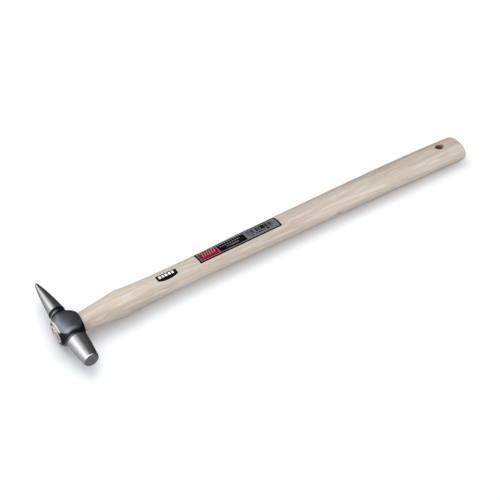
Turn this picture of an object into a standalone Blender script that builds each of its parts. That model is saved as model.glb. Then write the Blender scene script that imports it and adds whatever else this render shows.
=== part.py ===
"""Inspection (test) hammer: a turned steel head on an ash handle, lying on its cheek.

The hammer is designed in millimetres around the point where the handle's axis crosses the
head's axis: +X runs down the handle to its butt, -Y to the striking face, +Y to the pein's
tip and +Z out of the upper cheek. ORIGIN then moves the whole model, so that the world's
origin lies under the middle of its bounding box, on the plane that the lower cheek rests on.
"""
from math import atan2, cos, pi, radians, sin, sqrt

import bmesh
import bpy
import numpy as np
from mathutils import Matrix, Vector

MM = 0.001

# overall
HANDLE_END = 438.5        # butt of the handle
TENON_END = -11.5         # end of the wood in the eye
FACE_Y = -41.5            # striking face
TIP_Y = 63.4              # tip of the pein
CHEEK_Z = 14.2            # flat ground land on each cheek
ORIGIN = Vector(((HANDLE_END + TENON_END) / 2, (FACE_Y + TIP_Y) / 2, -CHEEK_Z)) * MM

# head: ball-shaped body
BALL_R = 15.1             # black waist between the cheeks
GRIND_Z = 8.0             # height at which the ground cheek starts
LAND_R = 4.0              # radius of the flat land
EYE_FACE_X = 11.2         # flat faces in which the eye opens
# head: striking stub
FACE_R = 6.8
FACE_CHAMFER = 0.5
STUB_ROOT_Y = -16.5
STUB_ROOT_R = 9.3
STUB_POWER = 1.3          # how the taper gathers towards the face
FACE_COLLAR_R = 9.0
# head: pein
PEIN_ROOT_Y = 22.0
PEIN_ROOT_R = 7.2
PEIN_POWER = 0.575        # the radius grows with this power of the distance from the tip
PEIN_COLLAR_R = 6.9
BEAD = 0.35               # height of the small bead at the end of each black collar

# eye and wedges
EYE_OUTER = (8.8, 6.9)    # half axes along Y and Z at the tenon's end
EYE_INNER = (9.1, 7.5)    # and where the handle enters
GAP = 0.3                 # clearance between pieces
WOOD_WEDGE = (15.0, 2.2, 0.8)      # depth, thickness at the end, thickness at the point
STEEL_WEDGE = (9.0, 1.3, 0.4)
STEEL_WEDGE_WIDTH = 9.0
STEEL_WEDGE_Y = 4.6

# handle: distance along the axis, half width along Y, half thickness along Z
STATIONS = (
    (EYE_FACE_X, 8.8, 7.2),
    (29.0, 11.5, 8.1),
    (39.0, 13.3, 8.7),
    (47.0, 14.1, 9.1),
    (56.0, 13.4, 9.5),
    (66.0, 12.7, 9.3),
    (87.0, 12.2, 8.8),
    (120.0, 12.0, 8.6),
    (149.0, 12.5, 8.9),
    (172.0, 13.1, 9.35),
    (229.0, 13.7, 9.9),
    (300.0, 14.6, 10.45),
    (350.0, 15.2, 10.85),
    (400.0, 15.35, 11.0),
    (HANDLE_END, 15.1, 10.8),
)
BOW = 1.2                 # how far the middle of the handle bends towards the pein
TAIL_START = 300.0        # from here the grip bends back towards the face side
TAIL = 1.5                # by this much at the butt
BUTT_CORNER = 2.6         # rounding of the butt's edge
BUTT_DOME = 4.2           # rise of the domed butt inside that rounding
HOLE_X = 411.0
HOLE_R = 3.5

# stickers: angles are measured from the top of the handle, positive towards the face side
LABEL_X = (127.2, 214.5)
LABEL_START = (34.0, -50.0)        # limiting angles at its end near the head
LABEL_FINISH = (33.0, -50.0)
BADGE_X = (85.0, 105.0)
BADGE_WIDTH = 10.6
BADGE_CORNER = 1.5
BADGE_MIDDLE = 10.0        # angle of the badge's middle line
STICKER_GAP = 0.25
STICKER_THICKNESS = 0.25

AROUND = 48               # facets round a turned piece
HANDLE_AROUND = 40


def clear_scene():
    for obj in list(bpy.data.objects):
        bpy.data.objects.remove(obj, do_unlink=True)


def material(name, colour, roughness, metallic=0.0):
    mat = bpy.data.materials.new(name)
    mat.use_nodes = True
    shader = mat.node_tree.nodes["Principled BSDF"]
    shader.inputs["Base Color"].default_value = (*colour, 1.0)
    shader.inputs["Roughness"].default_value = roughness
    shader.inputs["Metallic"].default_value = metallic
    return mat


def place(name, bm, mat=None):
    """Make an object of a bmesh in millimetres and hang it on the hammer's empty."""
    bmesh.ops.remove_doubles(bm, verts=bm.verts, dist=1e-4)
    bmesh.ops.recalc_face_normals(bm, faces=bm.faces)
    bmesh.ops.scale(bm, vec=(MM, MM, MM), verts=bm.verts)
    mesh = bpy.data.meshes.new(name)
    bm.to_mesh(mesh)
    bm.free()
    mesh.shade_smooth()
    mesh.set_sharp_from_angle(angle=radians(32))
    obj = bpy.data.objects.new(name, mesh)
    bpy.context.collection.objects.link(obj)
    obj.parent = hammer
    if mat:
        mesh.materials.append(mat)
    return obj


def cutter(name, bm):
    obj = place(name, bm)
    obj.hide_render = True
    obj.display_type = "WIRE"
    return obj


def boolean(obj, operation, tool):
    mod = obj.modifiers.new(f"{operation.lower()}_{tool.name}", "BOOLEAN")
    mod.operation = operation
    mod.object = tool


def arc(centre, radius, start, end, steps):
    """Points on a circle between two angles in degrees."""
    angles = np.radians(np.linspace(start, end, steps + 1))
    return [(centre[0] + radius * cos(a), centre[1] + radius * sin(a)) for a in angles]


def turned(profile, axis, around=AROUND):
    """Spin an outline of (distance along the axis, radius) points about that axis."""
    along = Vector(axis)
    out = Vector((1, 0, 0))
    bm = bmesh.new()
    verts = [bm.verts.new(along * p + out * r) for p, r in profile]
    edges = [bm.edges.new(pair) for pair in zip(verts, verts[1:])]
    bmesh.ops.spin(bm, geom=verts + edges, cent=(0, 0, 0), axis=axis, angle=2 * pi, steps=around)
    return bm


def skin(rings):
    """Join closed rings of equal length into a closed tube, and fan its two ends."""
    bm = bmesh.new()
    loops = [[bm.verts.new(point) for point in ring] for ring in rings]
    for low, high in zip(loops, loops[1:]):
        for i in range(len(low)):
            j = (i + 1) % len(low)
            bm.faces.new((low[i], low[j], high[j], high[i]))
    for loop in (loops[0], loops[-1]):
        middle = bm.verts.new(sum((v.co for v in loop), Vector()) / len(loop))
        for i in range(len(loop)):
            bm.faces.new((middle, loop[i], loop[(i + 1) % len(loop)]))
    return bm


def box(low, high):
    bm = bmesh.new()
    size = Vector(high) - Vector(low)
    middle = (Vector(high) + Vector(low)) / 2
    matrix = Matrix.Translation(middle) @ Matrix.Diagonal((*size, 1.0))
    bmesh.ops.create_cube(bm, size=1.0, matrix=matrix)
    return bm


def bow(x):
    """The handle's sideways bend: a half wave between head and butt, less the tail's square law."""
    along = (x - EYE_FACE_X) / (HANDLE_END - EYE_FACE_X)
    tail = min(max((x - TAIL_START) / (HANDLE_END - TAIL_START), 0.0), 1.0)
    return BOW * sin(pi * min(max(along, 0.0), 1.0)) - TAIL * tail ** 2


def ellipse(x, half_y, half_z, around=HANDLE_AROUND):
    """A ring across the handle, starting at its top and turning towards the face side."""
    angles = np.linspace(0, 2 * pi, around, endpoint=False)
    return [Vector((x, bow(x) - half_y * sin(a), half_z * cos(a))) for a in angles]


# ---- head

def head_body():
    """The body turned about Z: flat lands, ground domes and the prouder waist between them."""
    grind_r = sqrt(BALL_R ** 2 - GRIND_Z ** 2)
    # the dome is the circle about the Z axis through the land's rim and the grinding line
    dome_z = (LAND_R ** 2 + CHEEK_Z ** 2 - grind_r ** 2 - GRIND_Z ** 2) / (2 * (CHEEK_Z - GRIND_Z))
    dome_r = sqrt(LAND_R ** 2 + (CHEEK_Z - dome_z) ** 2)
    top = np.degrees(np.arctan2(CHEEK_Z - dome_z, LAND_R))
    low = np.degrees(np.arctan2(GRIND_Z - dome_z, grind_r))
    waist = np.degrees(np.arctan2(GRIND_Z, grind_r))
    upper = [(r, z) for r, z in arc((0, dome_z), dome_r, top, low, 8)]
    band = [(r, z) for r, z in arc((0, 0), BALL_R, waist, -waist, 8)][1:-1]
    lower = [(r, -z) for r, z in reversed(upper)]
    outline = [(CHEEK_Z, 0)] + [(z, r) for r, z in upper + band + lower] + [(-CHEEK_Z, 0)]
    return turned(outline, (0, 0, 1))


def head_arms():
    """Striking stub and pein in one outline turned about Y, running through the body."""
    cone = []
    for t in np.linspace(0, 1, 15) ** 2:
        cone.append((TIP_Y + t * (PEIN_ROOT_Y - TIP_Y), PEIN_ROOT_R * t ** PEIN_POWER))
    pein_collar = [
        (PEIN_ROOT_Y - 0.3, PEIN_ROOT_R + BEAD),
        (PEIN_ROOT_Y - 1.5, PEIN_ROOT_R + BEAD),
        (PEIN_ROOT_Y - 2.2, PEIN_COLLAR_R),
        (PEIN_ROOT_Y - 7.0, PEIN_COLLAR_R),
        (PEIN_ROOT_Y - 8.2, PEIN_COLLAR_R + 0.5),
        (PEIN_ROOT_Y - 9.6, PEIN_COLLAR_R + 1.6),
    ]
    face_collar = [
        (STUB_ROOT_Y + 5.4, FACE_COLLAR_R + 1.6),
        (STUB_ROOT_Y + 4.0, FACE_COLLAR_R + 0.5),
        (STUB_ROOT_Y + 2.8, FACE_COLLAR_R),
        (STUB_ROOT_Y + 1.6, FACE_COLLAR_R),
        (STUB_ROOT_Y + 1.1, FACE_COLLAR_R + BEAD),
        (STUB_ROOT_Y + 0.4, FACE_COLLAR_R + BEAD),
        (STUB_ROOT_Y + 0.2, FACE_COLLAR_R - 0.1),
        (STUB_ROOT_Y, FACE_COLLAR_R - 0.1),
        (STUB_ROOT_Y - 0.3, STUB_ROOT_R),
    ]
    stub = []
    for t in np.linspace(0, 1, 9)[1:]:
        y = STUB_ROOT_Y + t * (FACE_Y + FACE_CHAMFER - STUB_ROOT_Y)
        stub.append((y, STUB_ROOT_R - (STUB_ROOT_R - FACE_R) * t ** STUB_POWER))
    face = [(FACE_Y, FACE_R - FACE_CHAMFER), (FACE_Y, 0)]
    return turned(cone + pein_collar + face_collar + stub + face, (0, 1, 0))


def make_head(steel):
    head = place("hammer_head", head_body(), steel)
    reach = 2 * BALL_R
    slab = cutter("eye_face_cut", box((-EYE_FACE_X, -reach, -reach), (EYE_FACE_X, reach, reach)))
    arms = cutter("stub_and_pein", head_arms())
    past = 3.0
    slope = [(EYE_INNER[i] - EYE_OUTER[i]) / (2 * EYE_FACE_X) for i in (0, 1)]
    outer = [EYE_OUTER[i] - slope[i] * past for i in (0, 1)]
    inner = [EYE_INNER[i] + slope[i] * past for i in (0, 1)]
    ends = [ellipse(-EYE_FACE_X - past, *outer), ellipse(EYE_FACE_X + past, *inner)]
    eye = cutter("eye_cut", skin(ends))
    boolean(head, "INTERSECT", slab)
    boolean(head, "UNION", arms)
    boolean(head, "DIFFERENCE", eye)


# ---- handle

def handle_axes(x):
    """Half width and half thickness at x: a smooth curve through the stations."""
    xs = np.array([s[0] for s in STATIONS])
    values = np.array([s[1:] for s in STATIONS])
    slopes = np.gradient(values, xs, axis=0)
    k = int(np.clip(np.searchsorted(xs, x) - 1, 0, len(xs) - 2))
    span = xs[k + 1] - xs[k]
    t = (x - xs[k]) / span
    return (values[k] * (1 + 2 * t) * (1 - t) ** 2 + slopes[k] * span * t * (1 - t) ** 2
            + values[k + 1] * t * t * (3 - 2 * t) - slopes[k + 1] * span * t * t * (1 - t))


def make_handle(wood):
    mean_radius = sqrt(STATIONS[-1][1] * STATIONS[-1][2])
    turn = pi / 2 - atan2(2 * BUTT_DOME, mean_radius - BUTT_CORNER)
    corner_x = HANDLE_END - BUTT_DOME - BUTT_CORNER * sin(turn)
    tenon = [ellipse(TENON_END, EYE_OUTER[0] - GAP, EYE_OUTER[1] - GAP)]
    fine = list(np.linspace(EYE_FACE_X, 70, 15))
    coarse = list(np.linspace(70, corner_x, 27))[1:]
    shaft = [ellipse(x, *handle_axes(x)) for x in fine + coarse]
    end_axes = handle_axes(corner_x)
    rounding = []
    for a in np.linspace(0, turn, 6)[1:]:
        inset = BUTT_CORNER * (1 - cos(a))
        rounding.append(ellipse(corner_x + BUTT_CORNER * sin(a), *(end_axes - inset)))
    dome = []
    for q in (0.75, 0.45, 0.15):
        x = HANDLE_END - BUTT_DOME * q * q
        dome.append(ellipse(x, *((end_axes - inset) * q)))
    bm = skin(tenon + shaft + rounding + dome)
    middle = Vector((bow(HANDLE_END), 0.0))
    butt = max(bm.verts, key=lambda v: v.co.x - (v.co.yz - middle).length)
    butt.co.x = HANDLE_END
    handle = place("handle", bm, wood)

    thick = 2 * STATIONS[-1][2]
    bore = turned([(-thick, 0), (-thick, HOLE_R), (thick, HOLE_R), (thick, 0)], (0, 0, 1), 24)
    hole = cutter("hanging_hole_cut", bore)
    hole.location = Vector((HOLE_X, 0, 0)) * MM
    boolean(handle, "DIFFERENCE", hole)
    kerf = cutter("kerf_cut", wedge_shape(WOOD_WEDGE, 4 * EYE_INNER[0], GAP))
    boolean(handle, "DIFFERENCE", kerf)
    return handle


# ---- wedges

def wedge_shape(size, width, clearance=0.0):
    """A slab that thins from the tenon's end inwards, long along Y. Clearance enlarges it."""
    depth, thick, thin = size
    end = TENON_END - 3 * clearance
    tip = TENON_END + depth + clearance
    half = (thick / 2 + clearance, thin / 2 + clearance)
    rings = []
    for x, h in ((end, half[0]), (tip, half[1])):
        w = width / 2 + clearance
        rings.append([Vector((x, -w, h)), Vector((x, w, h)), Vector((x, w, -h)), Vector((x, -w, -h))])
    return skin(rings)


def make_wedges(handle, wood, steel):
    wedge = place("wooden_wedge", wedge_shape(WOOD_WEDGE, 4 * EYE_INNER[0]), wood)
    inside = (EYE_OUTER[0] - GAP, EYE_OUTER[1] - GAP)
    past = WOOD_WEDGE[0] + 5
    outline = cutter("tenon_outline", skin([ellipse(TENON_END - past, *inside),
                                            ellipse(TENON_END + past, *inside)]))
    boolean(wedge, "INTERSECT", outline)
    for name, y in (("steel_wedge_1", -STEEL_WEDGE_Y), ("steel_wedge_2", STEEL_WEDGE_Y)):
        turn = Matrix.Translation(Vector((0, y, 0))) @ Matrix.Rotation(pi / 2, 4, "X")
        blade = wedge_shape(STEEL_WEDGE, STEEL_WEDGE_WIDTH)
        pocket = wedge_shape(STEEL_WEDGE, STEEL_WEDGE_WIDTH, GAP)
        blade.transform(turn)
        pocket.transform(turn)
        place(name, blade, steel)
        slot = cutter(f"{name}_cut", pocket)
        boolean(wedge, "DIFFERENCE", slot)
        boolean(handle, "DIFFERENCE", slot)


# ---- stickers

def sticker(xs, edges):
    """A thin closed patch over the handle. edges(x) gives its two limiting angles in degrees."""
    across = 14
    bm = bmesh.new()
    layers = []
    for offset in (STICKER_GAP, STICKER_GAP + STICKER_THICKNESS):
        rows = []
        for x in xs:
            half_y, half_z = handle_axes(x)
            row = []
            for a in np.radians(np.linspace(*edges(x), across)):
                point = Vector((x, bow(x) - half_y * sin(a), half_z * cos(a)))
                normal = Vector((0, -sin(a) / half_y, cos(a) / half_z)).normalized()
                row.append(bm.verts.new(point + normal * offset))
            rows.append(row)
        layers.append(rows)
    low, high = layers
    for rows in layers:
        for one, two in zip(rows, rows[1:]):
            for i in range(across - 1):
                bm.faces.new((one[i], one[i + 1], two[i + 1], two[i]))
    for k in range(len(xs) - 1):
        for i in (0, across - 1):
            bm.faces.new((low[k][i], low[k + 1][i], high[k + 1][i], high[k][i]))
    for i in range(across - 1):
        for k in (0, len(xs) - 1):
            bm.faces.new((low[k][i], low[k][i + 1], high[k][i + 1], high[k][i]))
    return bm


def label_edges(x):
    """The label was laid on slightly askew, so its limiting angles drift along it."""
    t = (x - LABEL_X[0]) / (LABEL_X[1] - LABEL_X[0])
    return [start + t * (finish - start) for start, finish in zip(LABEL_START, LABEL_FINISH)]


def badge_edges(x):
    """The badge is a rectangle with rounded corners, laid round the handle."""
    corner_run = max(0.0, BADGE_X[0] + BADGE_CORNER - x, x - BADGE_X[1] + BADGE_CORNER)
    corner_drop = BADGE_CORNER - sqrt(max(BADGE_CORNER ** 2 - corner_run ** 2, 0.0))
    angle = np.degrees((BADGE_WIDTH / 2 - corner_drop) / handle_axes(x)[0])
    return BADGE_MIDDLE + angle, BADGE_MIDDLE - angle


def make_stickers(paper, film):
    place("product_label", sticker(np.linspace(*LABEL_X, 13), label_edges), paper)
    corner = BADGE_CORNER * (1 - np.cos(np.linspace(0, pi / 2, 5)))
    straight = np.linspace(BADGE_X[0] + BADGE_CORNER, BADGE_X[1] - BADGE_CORNER, 5)[1:-1]
    xs = [*(BADGE_X[0] + corner), *straight, *(BADGE_X[1] - corner[::-1])]
    place("badge", sticker(xs, badge_edges), film)


clear_scene()
hammer = bpy.data.objects.new("hammer", None)
bpy.context.collection.objects.link(hammer)
hammer.location = -ORIGIN

dark_steel = material("head_steel", (0.14, 0.14, 0.15), 0.3, 1.0)
bright_steel = material("wedge_steel", (0.35, 0.34, 0.33), 0.4, 1.0)
ash = material("handle_wood", (0.62, 0.52, 0.42), 0.5)
wedge_wood = material("wedge_wood", (0.42, 0.29, 0.19), 0.6)
label_paper = material("label_paper", (0.03, 0.03, 0.035), 0.35)
badge_film = material("badge_film", (0.02, 0.02, 0.02), 0.35)

make_head(dark_steel)
wooden_handle = make_handle(ash)
make_wedges(wooden_handle, wedge_wood, bright_steel)
make_stickers(label_paper, badge_film)
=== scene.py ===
# Inspection hammer lying on its cheek: looks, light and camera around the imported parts.
from math import atan2, cos, pi, radians, sin, sqrt

import bpy
import numpy as np
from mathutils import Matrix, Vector


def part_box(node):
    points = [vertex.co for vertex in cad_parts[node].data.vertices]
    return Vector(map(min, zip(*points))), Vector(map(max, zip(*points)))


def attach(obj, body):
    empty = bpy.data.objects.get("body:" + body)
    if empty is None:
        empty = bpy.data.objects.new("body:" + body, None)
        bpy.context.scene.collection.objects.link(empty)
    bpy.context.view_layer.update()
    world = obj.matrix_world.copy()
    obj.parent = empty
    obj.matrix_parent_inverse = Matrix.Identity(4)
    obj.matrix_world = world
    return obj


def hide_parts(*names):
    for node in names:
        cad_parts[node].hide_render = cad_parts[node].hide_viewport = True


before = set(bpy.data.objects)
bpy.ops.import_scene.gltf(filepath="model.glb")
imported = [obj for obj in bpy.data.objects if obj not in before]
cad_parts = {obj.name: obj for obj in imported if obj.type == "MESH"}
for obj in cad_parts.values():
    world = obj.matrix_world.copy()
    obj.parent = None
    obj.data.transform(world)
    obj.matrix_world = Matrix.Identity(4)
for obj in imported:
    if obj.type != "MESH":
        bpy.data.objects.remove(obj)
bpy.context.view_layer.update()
print("frame loaded:", ", ".join(sorted(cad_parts)))

# places read from the frame: shapes below are in millimetres around "crossing", the point
# where the handle's axis meets the head's axis
mm = 0.001
headLow, headHigh = (np.array(c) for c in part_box("hammer_head"))
wedgeLow, wedgeHigh = np.array(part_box("steel_wedge_1")[0]), np.array(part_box("steel_wedge_2")[1])
crossing = np.array([(headLow[0] + headHigh[0]) / 2, (wedgeLow[1] + wedgeHigh[1]) / 2,
                     (headLow[2] + headHigh[2]) / 2])
faceY, tipY = ((c - crossing[1]) / mm for c in (headLow[1], headHigh[1]))
eyeFaceX = (headHigh[0] - crossing[0]) / mm
cheekZ = (headHigh[2] - crossing[2]) / mm
tenonEnd, buttEnd = ((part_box("handle")[i][0] - crossing[0]) / mm for i in (0, 1))


def smoothMin(a, b, width):
    # the smaller of two values, blended by a parabola where they are within width of each other
    h = np.clip(0.5 + 0.5 * (b - a) / width, 0, 1)
    return b * (1 - h) + a * h - width * h * (1 - h)


def smoothMax(a, b, width):
    # the larger of two values, blended in the same way
    return -smoothMin(-a, -b, width)


def smoothStep(low, high, value):
    # 0 below low, 1 above high, 3t^2 - 2t^3 between them
    t = np.clip((value - low) / (high - low), 0, 1)
    return t * t * (3 - 2 * t)


def makeObject(name, points, faces, material):
    # a smooth mesh from points in millimetres; edges sharper than 35 degrees stay crisp
    mesh = bpy.data.meshes.new(name)
    mesh.from_pydata((points * mm + crossing).tolist(), [], faces)
    mesh.update()
    mesh.shade_smooth()
    mesh.set_sharp_from_angle(angle=radians(35))
    if material:
        mesh.materials.append(material)
    piece = bpy.data.objects.new(name, mesh)
    bpy.context.collection.objects.link(piece)
    return piece


def tube(name, grid, material, poles):
    # a closed skin over a grid of rows x columns x 3: each row is a ring, joined to the next
    # row, and the two poles close the ends with a fan of triangles
    rows, columns = grid.shape[:2]
    index = np.arange(rows * columns).reshape(rows, columns)
    turned = np.roll(index, -1, axis=1)
    quads = np.stack([index[:-1], turned[:-1], turned[1:], index[1:]], axis=-1).reshape(-1, 4)
    points = np.concatenate([grid.reshape(-1, 3), np.array(poles)])
    first, last = rows * columns, rows * columns + 1
    startFan = np.stack([turned[0], index[0], np.full(columns, first)], axis=-1)
    endFan = np.stack([index[-1], turned[-1], np.full(columns, last)], axis=-1)
    return makeObject(name, points, quads.tolist() + startFan.tolist() + endFan.tolist(), material)


def sheetSolid(name, top, bottom, material):
    # two grids of the same size, a front and a back, joined round their four edges
    rows, columns = top.shape[:2]
    index = np.arange(rows * columns).reshape(rows, columns)
    back = index + rows * columns
    front = np.stack([index[:-1, :-1], index[:-1, 1:], index[1:, 1:], index[1:, :-1]], axis=-1)
    rear = np.stack([back[:-1, :-1], back[1:, :-1], back[1:, 1:], back[:-1, 1:]], axis=-1)
    rim = np.concatenate([index[0, :-1], index[:-1, -1], index[-1, :0:-1], index[:0:-1, 0]])
    rimBack = rim + rows * columns
    edge = np.stack([np.roll(rim, -1), rim, rimBack, np.roll(rimBack, -1)], axis=-1)
    faces = np.concatenate([front.reshape(-1, 4), rear.reshape(-1, 4), edge])
    points = np.concatenate([top.reshape(-1, 3), bottom.reshape(-1, 3)])
    return makeObject(name, points, faces.tolist(), material)


def cutAway(piece, *tools):
    # subtracts closed tools from a piece for good, then removes them
    for tool in tools:
        modifier = piece.modifiers.new("cut", "BOOLEAN")
        modifier.object = tool
        modifier.operation = "DIFFERENCE"
    shape = piece.evaluated_get(bpy.context.evaluated_depsgraph_get())
    result = bpy.data.meshes.new_from_object(shape)
    piece.modifiers.clear()
    piece.data = result
    for tool in tools:
        bpy.data.objects.remove(tool, do_unlink=True)


def ride(piece, *nodes):
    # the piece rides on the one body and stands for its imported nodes
    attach(piece, "root")
    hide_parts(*nodes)


def newMaterial(name):
    # a material, its node tree and its shader
    material = bpy.data.materials.new(name)
    material.use_nodes = True
    return material, material.node_tree, material.node_tree.nodes["Principled BSDF"]


def plug(tree, value, socket):
    # links a node's output to a socket, or sets the socket to a plain value
    if isinstance(value, bpy.types.NodeSocket):
        tree.links.new(value, socket)
    else:
        socket.default_value = value


def maths(tree, operation, a, b=0.0, c=0.0):
    # one sum on up to three values; MULTIPLY_ADD is a times b plus c
    node = tree.nodes.new("ShaderNodeMath")
    node.operation = operation
    for value, socket in zip((a, b, c), node.inputs):
        plug(tree, value, socket)
    return node.outputs[0]


def times(tree, a, *factors):
    # the product of all its values
    for factor in factors:
        a = maths(tree, "MULTIPLY", a, factor)
    return a


def squareSum(tree, a, b):
    # a squared plus b squared
    return maths(tree, "ADD", times(tree, a, a), times(tree, b, b))


def step(tree, value, low, high):
    # rises smoothly from 0 at low to 1 at high, and falls if low is the greater
    node = tree.nodes.new("ShaderNodeMapRange")
    node.interpolation_type = "SMOOTHSTEP"
    plug(tree, value, node.inputs["Value"])
    rising = low < high
    node.inputs["From Min"].default_value = low if rising else high
    node.inputs["From Max"].default_value = high if rising else low
    node.inputs["To Min"].default_value = 0.0 if rising else 1.0
    node.inputs["To Max"].default_value = 1.0 if rising else 0.0
    return node.outputs["Result"]


def mixColour(tree, factor, a, b, blend="MIX"):
    # a where the factor is 0, b (or a times b) where it is 1
    node = tree.nodes.new("ShaderNodeMix")
    node.data_type = "RGBA"
    node.blend_type = blend
    plug(tree, factor, node.inputs[0])
    plug(tree, a, node.inputs[6])
    plug(tree, b, node.inputs[7])
    return node.outputs[2]


def tint(tree, colour, target, mask, depth):
    # lays a target colour over another where the mask is 1, as deep as depth says
    return mixColour(tree, times(tree, mask, depth), colour, target)


def mixValue(tree, factor, a, b):
    # a plus factor times (b - a)
    node = tree.nodes.new("ShaderNodeMix")
    plug(tree, factor, node.inputs[0])
    plug(tree, a, node.inputs[2])
    plug(tree, b, node.inputs[3])
    return node.outputs[0]


def noise(tree, vector, detail=3.0, roughness=0.5):
    # cloudy values between 0 and 1, one cell for each unit of its coordinates
    node = tree.nodes.new("ShaderNodeTexNoise")
    node.inputs["Scale"].default_value = 1.0
    node.inputs["Detail"].default_value = detail
    node.inputs["Roughness"].default_value = roughness
    tree.links.new(vector, node.inputs["Vector"])
    return node.outputs["Fac"]


def ownCoordinates(tree):
    # object coordinates in millimetres, counted from the crossing of the two axes
    coordinates = tree.nodes.new("ShaderNodeTexCoord")
    mapping = tree.nodes.new("ShaderNodeMapping")
    mapping.inputs["Location"].default_value = tuple(-crossing / mm)
    mapping.inputs["Scale"].default_value = (1 / mm,) * 3
    tree.links.new(coordinates.outputs["Object"], mapping.inputs["Vector"])
    return mapping.outputs["Vector"]


def stretched(tree, vector, x, y, z, offset=0.0):
    # the same coordinates at so many noise cells per millimetre along each axis
    mapping = tree.nodes.new("ShaderNodeMapping")
    mapping.inputs["Scale"].default_value = (x, y, z)
    mapping.inputs["Location"].default_value = (offset,) * 3
    tree.links.new(vector, mapping.inputs["Vector"])
    return mapping.outputs["Vector"]


def axes(tree, vector):
    # the x, y and z of a vector
    node = tree.nodes.new("ShaderNodeSeparateXYZ")
    tree.links.new(vector, node.inputs[0])
    return node.outputs


def bump(tree, shader, height, strength, distance):
    # tips the shader's normal by the slope of a height of so many millimetres
    node = tree.nodes.new("ShaderNodeBump")
    node.inputs["Strength"].default_value = strength
    node.inputs["Distance"].default_value = distance * mm
    tree.links.new(height, node.inputs["Height"])
    tree.links.new(node.outputs["Normal"], shader.inputs["Normal"])


head = {
    "ballRadius": 15.1,
    "grindHeight": 8.0,         # the ground cheeks start this far above the middle
    "domePower": 3.0,           # how suddenly a cheek falls away near its edge
    "edgeSoftness": 0.5,        # rounding where two ground faces meet
    "filletWidth": 1.6,         # rounding where the arms leave the ball
    "faceRadius": 6.8,          # of the stub where its chamfer starts
    "faceChamfer": 0.8,
    "stubRootY": -17.1,
    "stubRootRadius": 9.25,
    "stubPower": 1.3,           # above 1 the arm's side bulges outwards
    "faceCollarRadius": 9.0,
    "peinRootY": 21.0,
    "peinRootRadius": 7.3,
    "peinPower": 0.575,         # below 1 it ends in a round tip
    "peinCollarRadius": 6.9,
    # how far each bead and groove lies inside the root of its arm, its width and its height
    "faceBead": (1.25, 0.42, 0.42),
    "faceGroove": (0.25, 0.4, 0.6),
    "peinBead": (3.8, 0.8, 0.35),
    "peinGroove": (0.9, 0.7, 0.6),
    "eyeOuter": (8.8, 6.9),     # half axes of the eye at the tenon's end
    "eyeInner": (9.1, 7.5),     # and where the handle enters
    "eyeFlare": 0.5,            # how far its mouths open out
    "columns": 216,
}


def ridge(y, root, shape):
    # a bell curve across the collar, on the side of the root nearer the ball
    inset, width, rise = shape
    return rise * np.exp(-((np.abs(root) - np.abs(y) - inset) / width) ** 2)


def armRadius(y):
    # radius of the turned stub, collars and pein: a power curve on each arm, and straight
    # collars that carry one bell-shaped bead and one groove each
    h = head
    run = np.clip((h["stubRootY"] - y) / (h["stubRootY"] - faceY - h["faceChamfer"]), 0, 1)
    stub = h["stubRootRadius"] - (h["stubRootRadius"] - h["faceRadius"]) * run ** h["stubPower"]
    chamfer = h["faceRadius"] - h["faceChamfer"] + (y - faceY)
    stub = smoothMin(stub, chamfer, 0.12)
    tip = np.clip((tipY - y) / (tipY - h["peinRootY"]), 0, None)
    pein = h["peinRootRadius"] * tip ** h["peinPower"]
    faceCollar = (h["faceCollarRadius"] + ridge(y, h["stubRootY"], h["faceBead"])
                  - ridge(y, h["stubRootY"], h["faceGroove"]))
    peinCollar = (h["peinCollarRadius"] + ridge(y, h["peinRootY"], h["peinBead"])
                  - ridge(y, h["peinRootY"], h["peinGroove"]))
    radius = np.where(y < 0, faceCollar, peinCollar)
    radius = np.where(y < h["stubRootY"], stub, radius)
    return np.where(y > h["peinRootY"], np.minimum(pein, h["peinRootRadius"]), radius)


def bodyRadius(y, angle):
    # distance from the head's axis to the body: the ball, cut by the two domed cheeks and the
    # two eye faces, each meeting the next in a soft edge. A cheek is z = top - drop (r/R)^power
    # with r the distance from the Z axis, and is found along each ray by repeated halving
    h = head
    grindRadius = np.sqrt(h["ballRadius"] ** 2 - h["grindHeight"] ** 2)
    rise, reach = np.abs(np.cos(angle)), np.abs(np.sin(angle))
    low, high = 0 * y + 0 * angle, 0 * y + 0 * angle + h["ballRadius"]
    for _ in range(24):
        middle = (low + high) / 2
        fromZ = np.hypot(middle * reach, y) / grindRadius
        inside = middle * rise < cheekZ - (cheekZ - h["grindHeight"]) * fromZ ** h["domePower"]
        low, high = np.where(inside, middle, low), np.where(inside, high, middle)
    ball = np.sqrt(np.clip(h["ballRadius"] ** 2 - y ** 2, 0, None)) + 0 * angle
    body = smoothMin(ball, low, 0.15)
    return smoothMin(body, eyeFaceX / np.maximum(reach, 1e-3), h["edgeSoftness"])


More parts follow.
